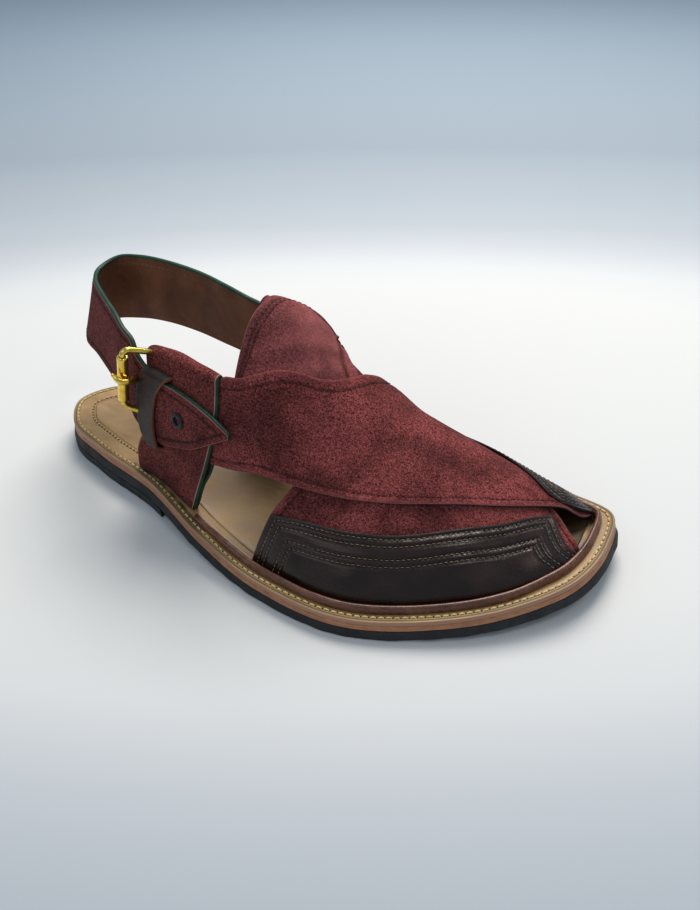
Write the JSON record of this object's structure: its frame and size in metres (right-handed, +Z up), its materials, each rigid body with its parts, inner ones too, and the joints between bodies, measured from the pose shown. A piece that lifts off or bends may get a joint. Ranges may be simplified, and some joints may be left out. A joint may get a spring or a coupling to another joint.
{
  "type": "sandal",
  "caption": "Right open leather sandal: wide suede straps cross on a stitched sole with a low heel, a buckled heel strap and dark leather toe overlays.",
  "frame": {"origin": "bottom centre of the sandal's bounding box, on the floor that it stands on", "axes": "+X to the toe, +Y to the medial (big toe) side, -Y to the lateral side with the buckle, +Z up"},
  "size_m": [0.289, 0.118, 0.1075],
  "materials": {
    "suede": "napped",
    "dark_leather": "polished",
    "brown_leather": "polished",
    "tan_leather": "smooth",
    "midsole_leather": "cut edge",
    "black_rubber": "matte",
    "brass": "polished",
    "black_metal": "satin"
  },
  "bodies": {
    "root": {"outsole": "black_rubber", "heel": "black_rubber", "midsole": "midsole_leather", "welt": "tan_leather", "insole": "tan_leather", "rand": "brown_leather", "upper": "suede", "tongue": "suede", "lateral_panel": "dark_leather", "medial_panel": "dark_leather", "lateral_band": "suede", "medial_band": "suede", "heel_strap": "suede", "keeper": "dark_leather", "buckle_frame": "brass", "buckle_roller": "brass", "buckle_prong": "brass", "eyelet": "black_metal"}
  },
  "joints": []
}
